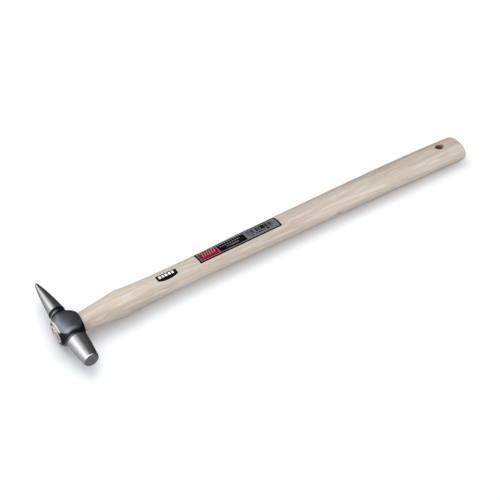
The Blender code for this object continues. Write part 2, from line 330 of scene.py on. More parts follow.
def makeHead(material):
    # rings along the head's axis: at each y and angle the radius is the larger of the arm's and
    # the body's, blended where they meet; rings crowd where the shape turns
    h = head
    face = np.linspace(0, 1, 7)[1:-1]
    stubRows = np.linspace(faceY, h["stubRootY"] - 0.4, 60)
    chamferRows = faceY + np.array([0.04, 0.12, 0.2, 0.4, 0.6, 0.7, 0.75, 0.8, 0.85, 0.95])
    collarRows = np.linspace(h["stubRootY"] - 0.3, h["stubRootY"] + 2.2, 34)
    ballRows = np.linspace(h["stubRootY"] + 2.3, h["peinRootY"] - 6.2, 120)
    beadRows = np.linspace(h["peinRootY"] - 6.1, h["peinRootY"] + 0.3, 44)
    tipStart = h["peinRootY"] + 0.4
    tipRows = tipStart + (tipY - tipStart) * (1 - np.linspace(1, 0.02, 64) ** 1.8)
    rows = np.sort(np.concatenate([stubRows, chamferRows, collarRows, ballRows, beadRows, tipRows]))
    angle = np.linspace(0, 2 * pi, h["columns"], endpoint=False)[None, :]
    y = rows[:, None]
    arm = armRadius(y) + 0 * angle
    body = np.where(np.abs(y) < h["ballRadius"], bodyRadius(y, angle), 0)
    radius = smoothMax(arm, body, h["filletWidth"] * smoothStep(17, 13, np.abs(y)) + 1e-4)
    radius = np.where(np.abs(y) > 16.2, arm, radius)
    # the flat striking face is a set of smaller rings at the same height
    faceRadii = face[:, None] * radius[0][None, :]
    radius = np.concatenate([faceRadii, radius])
    y = np.concatenate([np.full((len(face), 1), faceY), y])
    grid = np.stack([radius * np.sin(angle), y + 0 * angle, radius * np.cos(angle)], axis=-1)
    piece = tube("forgedHead", grid, material, [(0, faceY, 0), (0, tipY, 0)])

    # the eye: an oval that widens evenly from the tenon's end, with both mouths eased
    x = np.concatenate([np.linspace(-1, -0.86, 14), np.linspace(-0.8, 0.8, 9), np.linspace(0.86, 1, 14)])
    x = x * (eyeFaceX + 1.5)
    turn = np.linspace(0, 2 * pi, 144, endpoint=False)[None, :]
    mouth = h["eyeFlare"] * np.exp((np.abs(x) - eyeFaceX) / 0.45)
    along = (x / eyeFaceX + 1) / 2
    half = [h["eyeOuter"][i] + (h["eyeInner"][i] - h["eyeOuter"][i]) * along + mouth for i in (0, 1)]
    oval = np.stack([x[:, None] + 0 * turn, half[0][:, None] * np.sin(turn), half[1][:, None] * np.cos(turn)],
                    axis=-1)[:, ::-1]
    eye = tube("eyeTool", oval, None, [(x[0], 0, 0), (x[-1], 0, 0)])
    cutAway(piece, eye)
    return piece


def headMaterial():
    # black forged steel; soft-edged masks from 0 to 1 mix in the ground cheeks, a painted
    # highlight along their edge, the turned cones and the striking face
    look = {
        "bright": (0.62, 0.62, 0.63, 1),
        "ground": (0.2, 0.212, 0.238, 1),
        "face": (0.34, 0.34, 0.34, 1),
        "oxide": (0.018, 0.02, 0.028, 1),
        # rim: the colour of the painted highlights on the cheeks' edge and on the beads' crests
        "rim": (0.78, 0.77, 0.76, 1),
        "cheekReach": 11.9,     # the grinding stops this far along the head's axis
    }
    material, tree, shader = newMaterial("headSteel")
    place = ownCoordinates(tree)
    x, y, z = axes(tree, place)
    wander = maths(tree, "SUBTRACT", noise(tree, stretched(tree, place, 0.35, 0.35, 0.35), 2), 0.5)
    fine = maths(tree, "SUBTRACT", noise(tree, stretched(tree, place, 1.6, 1.6, 1.6), 3), 0.5)

    # bright cones outside the two collars
    stub = step(tree, y, head["stubRootY"] + 0.02, head["stubRootY"] - 0.12)
    pein = step(tree, y, head["peinRootY"] - 0.02, head["peinRootY"] + 0.12)
    cone = maths(tree, "MAXIMUM", stub, pein)
    # ground cheeks above the waist, with a slightly wandering edge
    height = maths(tree, "ADD", maths(tree, "ABSOLUTE", z), times(tree, wander, 0.8))
    above = step(tree, height, head["grindHeight"] - 0.1, head["grindHeight"] + 0.25)
    sideways = maths(tree, "ADD", maths(tree, "ABSOLUTE", y), times(tree, fine, 0.3))
    inside = step(tree, sideways, look["cheekReach"] + 0.5, look["cheekReach"])
    cheek = times(tree, above, inside)
    # a painted highlight: the cheeks' edge at the eye's end face is made bright, at that end only
    highlightBand = step(tree, times(tree, x, -1.0), eyeFaceX - 1.4, eyeFaceX - 0.9)
    onTop = step(tree, height, head["grindHeight"] - 1.0, head["grindHeight"] + 0.5)
    edge = times(tree, highlightBand, onTop, maths(tree, "SUBTRACT", 1.0, cone))

    colour = mixColour(tree, cheek, look["oxide"], look["ground"])
    # painted highlight along the cheeks' edge at the eye's end
    colour = mixColour(tree, edge, colour, look["rim"])
    colour = mixColour(tree, cone, colour, look["bright"])
    struck = step(tree, y, faceY + 0.12, faceY + 0.02)
    colour = mixColour(tree, struck, colour, look["face"])
    # painted highlights along the crests of both collars' beads, broken up by noise, on the eye's end side
    # only
    crest = []
    for root, bead in (("stubRootY", "faceBead"), ("peinRootY", "peinBead")):
        inset, width, _ = head[bead]
        middle = head[root] * (1 - inset / abs(head[root]))
        off = maths(tree, "ABSOLUTE", maths(tree, "SUBTRACT", y, middle))
        crest.append(step(tree, off, width, width * 0.4))
    crest = maths(tree, "MAXIMUM", *crest)
    crestHighlight = times(tree, crest, step(tree, fine, -0.25, 0.1), step(tree, x, 1.0, -4.0))
    colour = tint(tree, colour, look["rim"], crestHighlight, 0.55)
    # faint stains
    stain = noise(tree, stretched(tree, place, 0.22, 0.22, 0.22, 5.0), 5, 0.6)
    stain = maths(tree, "MULTIPLY_ADD", stain, 0.35, 0.82)
    colour = mixColour(tree, 1.0, colour, stain, "MULTIPLY")
    tree.links.new(colour, shader.inputs["Base Color"])

    metal = mixValue(tree, cheek, 0.75, 0.91)
    metal = mixValue(tree, edge, metal, 0.5)
    metal = mixValue(tree, cone, metal, 1.0)
    tree.links.new(metal, shader.inputs["Metallic"])
    roughness = mixValue(tree, cheek, 0.3, 0.26)
    roughness = mixValue(tree, edge, roughness, 0.35)
    roughness = mixValue(tree, cone, roughness, 0.15)
    roughness = mixValue(tree, struck, roughness, 0.5)
    roughness = maths(tree, "ADD", roughness, times(tree, fine, 0.08))
    tree.links.new(roughness, shader.inputs["Roughness"])

    # turning marks run round the cones, grinding marks run along the cheeks
    turning = noise(tree, stretched(tree, place, 0.05, 9.0, 0.05), 2)
    grinding = noise(tree, stretched(tree, place, 7.0, 0.25, 7.0), 3)
    scale = noise(tree, stretched(tree, place, 3.0, 3.0, 3.0), 4)
    marks = mixValue(tree, cheek, scale, grinding)
    marks = mixValue(tree, cone, marks, turning)
    bump(tree, shader, marks, 0.25, 0.05)
    return material


handle = {
    # distance along the axis, half width and half thickness of the grip
    "grip": ((39.0, 15.0, 10.1), (47.0, 14.4, 9.9), (56.0, 13.5, 9.62), (66.0, 12.75, 9.33),
             (87.0, 12.2, 8.8), (120.0, 12.0, 8.6), (149.0, 12.5, 8.9), (172.0, 13.1, 9.35),
             (229.0, 13.7, 9.9), (300.0, 14.6, 10.45), (350.0, 15.2, 10.85),
             (400.0, 15.35, 11.0), (438.5, 15.1, 10.8)),
    "neck": (8.8, 7.2),             # half axes where the handle enters the head
    "neckTaper": (0.149, 0.0515),   # how much they grow for each millimetre
    "tenonGap": 0.2,                # between the tenon and the eye
    "tenonEdge": 0.35,              # rounding of the tenon's end
    "bow": 1.2,                     # how far the middle bends towards the pein
    "tail": (300.0, 1.5),           # from where, and how far, the butt bends back
    "buttCorner": 2.6,              # rounding of the butt's edge
    "buttDome": 4.2,                # rise of its middle inside that rounding
    # the rim widens by "rim" at the wood's surface; "torn" is half the brown oval round it
    "hole": {"x": 411.0, "radius": 3.5, "rim": 0.9, "surface": 10.9, "torn": (6.2, 3.8)},
    "unevenness": 0.05,             # height of the slow waves in its surface
    "columns": 160,
}


def smoothCurve(x, stations):
    # cubic Hermite curve through the stations, with slopes from their neighbours
    xs = np.array([s[0] for s in stations])
    values = np.array([s[1:] for s in stations])
    slopes = np.gradient(values, xs, axis=0)
    x = np.clip(x, xs[0], xs[-1])
    k = np.clip(np.searchsorted(xs, x) - 1, 0, len(xs) - 2)
    span = (xs[k + 1] - xs[k])[:, None]
    t = ((x - xs[k]) / span[:, 0])[:, None]
    return (values[k] * (1 + 2 * t) * (1 - t) ** 2 + slopes[k] * span * t * (1 - t) ** 2
            + values[k + 1] * t * t * (3 - 2 * t) - slopes[k + 1] * span * t * t * (1 - t))


def bow(x):
    # sideways bend of the axis: half a sine wave, less a square law from the tail's start
    along = np.clip((x - eyeFaceX) / (buttEnd - eyeFaceX), 0, 1)
    start, reach = handle["tail"]
    tail = np.clip((x - start) / (buttEnd - start), 0, 1)
    return handle["bow"] * np.sin(pi * along) - reach * tail ** 2


def ovalReach(axesYZ, angle):
    # distance from the middle of an ellipse to its edge, at an angle from the top
    return 1 / np.sqrt((np.sin(angle) / axesYZ[:, :1]) ** 2 + (np.cos(angle) / axesYZ[:, 1:]) ** 2)


def handleReach(x, angle):
    # the tapering neck and the grip are two ovals; the smaller one is the wood that is left,
    # with a soft crease where they meet, and the sanded surface is never quite even
    grip = ovalReach(smoothCurve(x, handle["grip"]), angle)
    out = np.maximum(x - eyeFaceX, 0)[:, None]
    neckAxes = np.array(handle["neck"]) + out * np.array(handle["neckTaper"])
    neck = ovalReach(neckAxes, angle)
    reach = smoothMin(neck, grip, 0.5)
    xx = x[:, None]
    uneven = (np.sin(xx / 17 + 2 * angle) + np.sin(xx / 7.3 - 3 * angle + 1)) * 0.5
    return reach + handle["unevenness"] * uneven * smoothStep(14, 40, xx)


def handlePoint(x, angle, lift=0.0):
    # a point on the handle, lifted off it along the outward direction
    nudge = 1e-3
    reach = handleReach(x, angle)
    slope = (handleReach(x, angle + nudge) - reach) / nudge / reach
    outY, outZ = -np.sin(angle), np.cos(angle)
    # the outward direction is the radial one less the slope times the sideways one
    normalY = outY + slope * np.cos(angle)
    normalZ = outZ + slope * np.sin(angle)
    length = np.sqrt(normalY ** 2 + normalZ ** 2)
    y = reach * outY + lift * normalY / length + bow(x)[:, None]
    z = reach * outZ + lift * normalZ / length
    return np.stack([x[:, None] + 0 * angle, y, z], axis=-1)


def makeHandle(material):
    # rings along the handle's axis from the tenon's end to the butt, then cut by its tools
    h = handle
    angle = np.linspace(0, 2 * pi, h["columns"], endpoint=False)[None, :]
    # tenon: flat end with an eased edge, then an oval that grows with the eye
    outer = np.array(head["eyeOuter"]) - h["tenonGap"]
    inner = np.array(head["eyeInner"]) - h["tenonGap"]
    ease = h["tenonEdge"]
    endRows = [(tenonEnd, q * (outer - ease)) for q in (0.3, 0.6, 0.85, 1.0)]
    edgeRows = [(tenonEnd + ease * (1 - cos(t)), outer - ease * (1 - sin(t)))
                for t in np.linspace(0, pi / 2, 5)[1:]]
    tenonRows = [(x, outer + (inner - outer) * (x + eyeFaceX) / (2 * eyeFaceX))
                 for x in np.linspace(tenonEnd + 1, eyeFaceX - 1.2, 16)]
    tenon = endRows + edgeRows + tenonRows
    tenonX = np.array([row[0] for row in tenon])
    tenonReach = ovalReach(np.array([row[1] for row in tenon]), angle)

    # butt: the rounding stops where it meets the slope of a dome that runs to the middle
    corner, dome = h["buttCorner"], h["buttDome"]
    middle = sqrt(h["grip"][-1][1] * h["grip"][-1][2])
    lean = pi / 2 - atan2(2 * dome, middle - corner)
    cornerX = buttEnd - dome - corner * sin(lean)
    shaftX = np.concatenate([np.linspace(eyeFaceX, 75, 96), np.linspace(75, cornerX, 260)[1:]])
    shaftReach = handleReach(shaftX, angle)

    turn = np.linspace(0, lean, 14)[1:]
    roundX = cornerX + corner * np.sin(turn)
    rim = handleReach(np.array([cornerX]), angle)
    roundReach = rim - (corner * (1 - np.cos(turn)))[:, None]
    inward = np.linspace(1, 0, 16)[1:-1]
    domeX = buttEnd - dome * inward ** 2
    domeReach = roundReach[-1:] * inward[:, None]

    x = np.concatenate([tenonX, shaftX, roundX, domeX])
    reach = np.concatenate([tenonReach, shaftReach, roundReach, domeReach])
    y = bow(x)[:, None] - reach * np.sin(angle)
    grid = np.stack([x[:, None] + 0 * angle, y, reach * np.cos(angle)], axis=-1)
    piece = tube("ashHandle", grid, material, [(tenonEnd, 0, 0), (buttEnd, float(bow(buttEnd)), 0)])
    cutAway(piece, holeTool(), *wedgeTools())
    return piece


def holeTool():
    # a round pin along Z whose radius opens towards both surfaces, which eases the hole's rims
    hole = handle["hole"]
    z = np.concatenate([np.linspace(-14, -8, 40), np.linspace(-7, 7, 5), np.linspace(8, 14, 40)])
    turn = np.linspace(0, 2 * pi, 72, endpoint=False)[None, :]
    opening = np.exp((np.abs(z) - hole["surface"]) / 0.35).clip(0, 3)
    radius = (hole["radius"] + hole["rim"] * opening)[:, None]
    x, y = hole["x"] + radius * np.cos(turn), radius * np.sin(turn)
    grid = np.stack([x, y, z[:, None] + 0 * turn], axis=-1)
    return tube("holeTool", grid, None, [(hole["x"], 0, z[0]), (hole["x"], 0, z[-1])])


wedges = {
    # "thick" at the tenon's end, "thin" at the point; "apart" is from the middle to each
    "wood": {"depth": 15.0, "thick": 2.2, "thin": 0.8, "width": 40.0},
    "steel": {"depth": 9.0, "thick": 1.3, "thin": 0.4, "width": 9.0, "apart": 4.6},
    "gap": 0.05,                    # left free round each wedge
}


def wedgeBlock(name, size, material, upright=False, middleY=0.0, grow=0.0):
    # a tapering block: rounded-rectangle rings that thin from the tenon's end inwards; an
    # upright one has its width along Z, and a cutting tool is grown by the gap on all sides
    s = np.concatenate([[0, 0.004, 0.012, 0.03], np.linspace(0.1, 0.97, 12), [1.0]])
    x = tenonEnd - 3 * grow + s * (size["depth"] + 4 * grow)
    thick = (size["thick"] + (size["thin"] - size["thick"]) * s) / 2 + grow
    ease = 0.12 * (1 - np.clip(s / 0.012, 0, 1)) * (grow == 0)
    turn = np.linspace(0, 2 * pi, 48, endpoint=False)[None, :]
    # a superellipse with a high power is a rectangle with small round corners
    power = 2 / 14
    across = np.sign(np.cos(turn)) * np.abs(np.cos(turn)) ** power
    deep = np.sign(np.sin(turn)) * np.abs(np.sin(turn)) ** power
    wide = (size["width"] / 2 + grow - ease)[:, None] * across
    slim = (thick - ease)[:, None] * deep
    rows = x[:, None] + 0 * turn
    if upright:
        grid = np.stack([rows, middleY + slim, wide], axis=-1)
    else:
        grid = np.stack([rows, middleY + wide, slim], axis=-1)[:, ::-1]
    return tube(name, grid, material, [(x[0], middleY, 0), (x[-1], middleY, 0)])


def steelBlock(name, number, material, grow=0.0):
    # one of the two cross wedges, on either side of the middle
    steel = wedges["steel"]
    middleY = (-1, 1)[number - 1] * steel["apart"]
    return wedgeBlock(name, steel, material, True, middleY, grow)


def steelTools():
    # cutters for the two cross wedges' slots
    return [steelBlock(f"steelTool{number}", number, None, wedges["gap"]) for number in (1, 2)]


def wedgeTools():
    # cutters for all three slots in the tenon
    woodTool = wedgeBlock("woodTool", wedges["wood"], None, grow=wedges["gap"])
    return [woodTool] + steelTools()


def makeWoodWedge(material):
    # the wooden wedge is trimmed to the tenon's oval, then split by the two steel ones
    size = dict(wedges["wood"], width=2 * (head["eyeOuter"][0] - 0.5))
    piece = wedgeBlock("endWedge", size, material)
    cutAway(piece, *steelTools())
    return piece


def knotMark(tree, colour, look, x, y, z):
    # a pin knot on the face side: a small dark eye inside a longer brown shadow, each an
    # ellipse that fades from its middle to its edge
    faceSide = step(tree, y, 0.0, -1.0)
    for mark in (look["knotShadow"], look["knotEye"]):
        dx = maths(tree, "DIVIDE", maths(tree, "SUBTRACT", x, look["knot"][0]), mark["length"])
        dz = maths(tree, "DIVIDE", maths(tree, "SUBTRACT", z, look["knot"][1]), mark["width"])
        spot = times(tree, step(tree, squareSum(tree, dx, dz), 1.0, 0.1), faceSide)
        colour = tint(tree, colour, mark["colour"], spot, mark["depth"])
    return colour


def holeShadeAndEndGrain(tree, colour, look, place, x, y):
    # brown grain in an ellipse round the hanging hole, painted shade inside it, and a pale sawn
    # end on the tenon with dark vessels, made paler still as painted light
    hole = handle["hole"]
    dx = maths(tree, "SUBTRACT", x, hole["x"])
    tornX, tornY = (maths(tree, "DIVIDE", side, size) for side, size in zip((dx, y), hole["torn"]))
    torn = step(tree, squareSum(tree, tornY, tornX), 1.0, 0.7)
    colour = mixColour(tree, torn, colour, look["rimShade"])
    span = maths(tree, "SQRT", squareSum(tree, dx, y))
    # painted shade: the inside of the hanging hole is darkened
    bore = step(tree, span, hole["radius"] + 0.3, hole["radius"] + 0.05)
    colour = mixColour(tree, bore, colour, look["paintedBoreShade"])
    end = step(tree, x, tenonEnd + 0.5, tenonEnd + 0.1)
    vessels = noise(tree, stretched(tree, place, 0.1, 0.5, 1.6, 7.0), 3, 0.7)
    # the sawn end: its own pale end grain, painted paler still as light that this end does not get
    sawn = mixColour(tree, step(tree, vessels, 0.5, 0.62), look["endPaleLit"], look["endDark"])
    return mixColour(tree, end, colour, sawn)


def paintedLightAndShade(tree, amounts, x, y, z):
    # painted light and shade: brighter on the neck and less towards the butt, painted shade along
    # the lower side, painted light on the neck's far side, painted shade on the grip's far side, and
    # a painted sheen as a paler band on the grip's near side; angles run in degrees from the top to the face
    # side
    paintedShading = maths(tree, "MULTIPLY_ADD", step(tree, x, 130.0, 20.0), amounts["neck"], amounts["base"])
    paintedShading = maths(tree, "ADD", paintedShading, times(tree, step(tree, x, 430.0, 150.0), amounts["front"]))
    angle = times(tree, maths(tree, "ARCTAN2", times(tree, y, -1.0), z), 180 / pi)
    neck, grip = step(tree, x, 120.0, 40.0), step(tree, x, 190.0, 270.0)
    lower = maths(tree, "MULTIPLY_ADD", neck, amounts["lowerNeck"], amounts["lower"])
    lower = times(tree, step(tree, angle, 33.0, 56.0), lower)
    far = maths(tree, "MULTIPLY_ADD", neck, amounts["farNeck"], times(tree, grip, amounts["farGrip"]))
    far = times(tree, far, step(tree, angle, -5.0, -30.0))
    band = times(tree, step(tree, angle, 33.0, 47.0), step(tree, angle, 100.0, 58.0), grip, amounts["band"])
    for part in (lower, far, band):
        paintedShading = maths(tree, "ADD", paintedShading, part)
    return paintedShading


def woodMaterial(name, look):
    # growth rings are shells round a pith line beside the handle; fibres, pores, broad tone
    # changes and coarser figure are noise drawn out along the grain
    material, tree, shader = newMaterial(name)
    place = ownCoordinates(tree)
    x, y, z = axes(tree, place)
    sway = noise(tree, stretched(tree, place, 0.006, 0.05, 0.05), 2)
    sway = times(tree, maths(tree, "SUBTRACT", sway, 0.5), 9.0)
    fromPithY = maths(tree, "ADD", maths(tree, "ADD", y, look["pith"][0]), sway)
    fromPithZ = maths(tree, "ADD", z, look["pith"][1])
    distance = maths(tree, "SQRT", squareSum(tree, fromPithY, fromPithZ))
    ring = maths(tree, "FRACT", maths(tree, "DIVIDE", distance, look["ringWidth"]))
    # early wood is pale, late wood darkens towards the end of each year
    late = times(tree, maths(tree, "POWER", ring, 2.2), step(tree, ring, 1.0, 0.93))
    fibre = noise(tree, stretched(tree, place, 0.035, 2.4, 2.4), 4, 0.6)
    pores = step(tree, noise(tree, stretched(tree, place, 0.16, 7.0, 7.0), 2, 0.5), 0.63, 0.72)
    pores = times(tree, pores, step(tree, ring, 0.75, 0.2))
    broad = noise(tree, stretched(tree, place, 0.012, 0.09, 0.09, 3.0), 3)
    # coarser figure: long warm streaks and shorter pale ones
    warmStreak = noise(tree, stretched(tree, place, 0.022, 0.3, 0.3, 11.0), 4, 0.65)
    paleStreak = noise(tree, stretched(tree, place, 0.03, 0.5, 0.5, 5.0), 3, 0.6)

    colour = mixColour(tree, step(tree, broad, 0.32, 0.68), look["pale"], look["warm"])
    colour = tint(tree, colour, look["late"], late, look["ringDepth"])
    colour = tint(tree, colour, look["fibre"], step(tree, fibre, 0.3, 0.72), look["fibreDepth"])
    colour = tint(tree, colour, look["pore"], pores, look["poreDepth"])
    colour = tint(tree, colour, look["figure"], step(tree, warmStreak, 0.48, 0.68), look["figureDepth"])
    colour = tint(tree, colour, look["bleached"], step(tree, paleStreak, 0.5, 0.66), look["figureDepth"])
    if "paintedShading" in look:
        colour = knotMark(tree, colour, look, x, y, z)
        colour = holeShadeAndEndGrain(tree, colour, look, place, x, y)
        # the wood's colour times the painted light and shade
        colour = mixColour(tree, 1.0, colour, paintedLightAndShade(tree, look["paintedShading"], x, y, z), "MULTIPLY")
    tree.links.new(colour, shader.inputs["Base Color"])

    roughness = maths(tree, "MULTIPLY_ADD", fibre, 0.18, look["roughness"] - 0.09)
    tree.links.new(roughness, shader.inputs["Roughness"])
    shader.inputs["Coat Weight"].default_value = look["lacquer"]
    shader.inputs["Coat Roughness"].default_value = 0.32
    shader.inputs["Specular IOR Level"].default_value = 0.4
    height = maths(tree, "SUBTRACT", fibre, times(tree, pores, 0.8))
    bump(tree, shader, height, 0.35, 0.06)
    return material


ashLook = {
    "pale": (0.54, 0.482, 0.42, 1),
    "warm": (0.47, 0.412, 0.348, 1),
    "late": (0.38, 0.31, 0.245, 1),
    "fibre": (0.43, 0.372, 0.31, 1),
    "pore": (0.23, 0.17, 0.125, 1),
    # the colour of the painted shade inside the hanging hole
    "paintedBoreShade": (0.2, 0.1, 0.05, 1),
    "rimShade": (0.27, 0.165, 0.1, 1),
    # the sawn end's pale colour, raised as painted light
    "endPaleLit": (0.9, 0.83, 0.76, 1),
    "endDark": (0.3, 0.22, 0.17, 1),
    "pith": (34.0, 21.0),           # how far beside and below the handle the pith line runs
    "ringWidth": 3.1,
    "ringDepth": 0.45,
    "fibreDepth": 0.5,
    "poreDepth": 0.5,
    "roughness": 0.5,
    "lacquer": 0.25,
    "figure": (0.43, 0.335, 0.255, 1),
    "bleached": (0.62, 0.575, 0.52, 1),
    "figureDepth": 0.55,
    "knot": (274.2, 0.6),           # where it lies along the handle and above its axis
    "knotShadow": {"length": 9.0, "width": 2.6, "depth": 0.45, "colour": (0.38, 0.31, 0.245, 1)},
    "knotEye": {"length": 3.4, "width": 0.9, "depth": 0.8, "colour": (0.2, 0.18, 0.17, 1)},
    # painted light and shade on the handle: how much each place and side is brightened or darkened
    "paintedShading": {"base": 0.94, "neck": 0.13, "front": 0.07, "lower": -0.04, "lowerNeck": -0.17,
             "farNeck": 0.07, "farGrip": -0.07, "band": 0.16},
}
wedgeLook = {
    "pale": (0.36, 0.24, 0.15, 1),
    "warm": (0.30, 0.19, 0.12, 1),
    "late": (0.16, 0.1, 0.06, 1),
    "fibre": (0.22, 0.14, 0.085, 1),
    "pore": (0.08, 0.05, 0.03, 1),
    "figure": (0.22, 0.13, 0.08, 1),
    "bleached": (0.4, 0.28, 0.19, 1),
    "figureDepth": 0.3,
    "pith": (12.0, 30.0),
    "ringWidth": 0.9,
    "ringDepth": 0.6,
    "fibreDepth": 0.5,
    "poreDepth": 0.5,
    "roughness": 0.65,
    "lacquer": 0.0,
}


def wedgeSteelMaterial():
    # dull steel, browned in patches where a cloudy noise is high
    material, tree, shader = newMaterial("wedgeSteel")
    place = ownCoordinates(tree)
    rust = noise(tree, stretched(tree, place, 0.9, 0.9, 0.9), 4, 0.6)
    colour = mixColour(tree, step(tree, rust, 0.45, 0.7), (0.2, 0.19, 0.185, 1), (0.12, 0.085, 0.065, 1))
    tree.links.new(colour, shader.inputs["Base Color"])
    shader.inputs["Metallic"].default_value = 0.9
    tree.links.new(maths(tree, "MULTIPLY_ADD", rust, 0.3, 0.35), shader.inputs["Roughness"])
    bump(tree, shader, noise(tree, stretched(tree, place, 4, 4, 4), 3), 0.3, 0.05)
    return material


# each sticker is a thin film laid over the handle, and its print is worked out point by point
# as a colour, in millimetres from its lower corner near the head
label = {
    "x": (127.2, 214.5),
    "start": (34.0, -50.0),         # limiting angles at the end near the head
    "finish": (33.0, -50.0),
    "height": 0.14,                 # of its top above the wood
    "thickness": 0.12,
    "corner": 0.7,
    "border": 1.9,
    "line": 0.45,
    "redEnd": 21.9,                 # where the red and the black panel end
    "blackEnd": 50.6,
    # what each panel carries: how far up it, from where to where along it, and the pitch
    "blocks": {"rise": (0.3, 0.8), "along": (1.5, 16.0), "pitch": 2.4},
    "dashes": ({"rise": (0.22, 0.34), "along": (8.0, 21.0), "pitch": 1.7},
               {"rise": (0.5, 0.62), "along": (2.0, 24.0), "pitch": 2.6}),
    "stripes": {"rise": (0.34, 0.96), "along": (3.2, 30.5), "pitch": 0.7, "seed": 2.0, "fill": 0.62},
    "ticks": {"rise": (0.12, 0.26), "along": (3.6, 29.0), "pitch": 0.55, "seed": 5.0, "fill": 0.5},
    "comb": 2.4,                    # pitch and depth of the ticks along the far edge
    "combDepth": 4.6,
    "spacing": 0.21,                # between the points of its grid
}
badge = {
    "x": (85.0, 105.0),
    "middle": 10.0,                 # angle of its middle line
    "width": 10.6,
    "corner": 1.2,
    "bulge": 0.45,                  # where along it the near edge reaches furthest
    "droop": 11.0,                  # and how many degrees it falls back at the ends
    "blocks": {"across": (1.6, 5.6), "inset": 2.2, "pitch": 3.2, "wide": 2.1},
    "height": 0.14,
    "thickness": 0.12,
    "spacing": 0.16,
}
ink = {
    "black": (0.003, 0.003, 0.004),
    "silver": (0.25, 0.25, 0.26),
    "plate": (0.125, 0.127, 0.142),
    "red": (0.2, 0.005, 0.02),
    "pink": (0.3, 0.13, 0.13),
    "grey": (0.17, 0.17, 0.185),
    "dark": (0.008, 0.008, 0.012),
    "white": (0.86, 0.86, 0.84),
}


def film(name, spec, limits, material):
    # rows run along the handle and columns round it between two limiting angles; rows near
    # the ends are drawn in so that the corners are round
    (low, high), corner = spec["x"], spec["corner"]
    bend = corner * (1 - np.cos(np.linspace(0, pi / 2, 10)))
    count = int((high - low - 2 * corner) / spec["spacing"])
    between = np.linspace(low + corner, high - corner, count)[1:-1]
    x = np.concatenate([low + bend, between, high - bend[::-1]])
    start, finish = limits(x)
    radius = smoothCurve(x, handle["grip"])[:, 0]
    width = np.radians(start - finish) * radius
    columns = int(width.mean() / spec["spacing"])
    run = np.clip(np.maximum(low + corner - x, x - high + corner), 0, corner)
    drop = np.degrees((corner - np.sqrt(corner ** 2 - run ** 2)) / radius)
    across = np.linspace(0, 1, columns)[None, :]
    angle = np.radians((start - drop)[:, None] * (1 - across) + (finish + drop)[:, None] * across)
    rounding = 0.05 * smoothStep(0.25, 0, np.minimum(across, 1 - across) * width.mean())
    top = handlePoint(x, angle, spec["height"] - rounding)
    bottom = handlePoint(x, angle, spec["height"] - spec["thickness"])
    piece = sheetSolid(name, top, bottom, material)
    u = (x - low)[:, None] + 0 * angle
    v = (start[:, None] - np.degrees(angle)) * pi / 180 * radius[:, None]
    return piece, u, v, high - low, width[:, None]


def paint(piece, colours):
    # colours for the front grid are repeated for the back
    flat = np.concatenate([colours.reshape(-1, 3)] * 2)
    flat = np.concatenate([flat, np.ones((len(flat), 1))], axis=1)
    attribute = piece.data.attributes.new("print", "FLOAT_COLOR", "POINT")
    attribute.data.foreach_set("color", flat.ravel())


def within(value, low, high):
    # true between two limits
    return (value >= low) & (value <= high)


def marks(spec, rise, along):
    # the patch of a panel that a row of marks fills
    return within(rise, *spec["rise"]) & within(along, *spec["along"])


def bars(spec, along):
    # upright bars of unequal width: each cell of one pitch is inked where the last digits of a
    # scaled sine of its number are low
    value = np.sin(np.floor(along / spec["pitch"]) * 12.9898 + spec["seed"]) * 43758.5453
    return value - np.floor(value) < spec["fill"]


def printLabel(u, v, length, width):
    # a black border and a silver line round three panels that carry plain bars only
    s = label
    colours = np.broadcast_to(ink["black"], u.shape + (3,)).copy()
    border, edge = s["border"], s["border"] + s["line"]
    inner = within(u, border, length - border) & within(v, border, width - border)
    colours[inner] = ink["silver"]
    panel = within(u, edge, length - edge) & within(v, edge, width - border)
    rise = (v - edge) / (width - border - edge)
    redPanel = panel & (u < s["redEnd"] - s["line"])
    blackPanel = panel & within(u, s["redEnd"], s["blackEnd"])
    platePanel = panel & (u > s["blackEnd"])
    colours[redPanel] = ink["red"]
    colours[blackPanel] = ink["black"]
    colours[platePanel] = ink["plate"]
    # red panel: one row of leaning pink blocks
    along = u - edge - 2.0 * rise
    row = s["blocks"]
    colours[redPanel & marks(row, rise, along) & (along % row["pitch"] < row["pitch"] / 2)] = ink["pink"]
    # black panel: two rows of even grey dashes
    along = u - s["redEnd"]
    for row in s["dashes"]:
        inked = along % row["pitch"] < row["pitch"] * 0.6
        colours[blackPanel & marks(row, rise, along) & inked] = ink["grey"]
    # plate panel: a block of upright stripes over a row of ticks
    along = u - s["blackEnd"]
    for row in (s["stripes"], s["ticks"]):
        colours[platePanel & marks(row, rise, along) & bars(row, along)] = ink["dark"]
    # far edge: a comb of short even ticks along the whole border
    comb = within(v, width - s["combDepth"], width - 0.4) & within(u, edge, length - edge)
    colours[comb] = ink["black"]
    colours[comb & (u % s["comb"] < s["comb"] / 2)] = ink["silver"]
    return colours


def printBadge(u, v, length, width):
    # a plain row of upright white blocks on black, measured from the straight far edge
    row = badge["blocks"]
    colours = np.broadcast_to(ink["black"], u.shape + (3,)).copy()
    along = u - row["inset"]
    block = within(width - v, *row["across"]) & within(along, 0, length - 2 * row["inset"])
    colours[block & (along % row["pitch"] < row["wide"])] = ink["white"]
    return colours


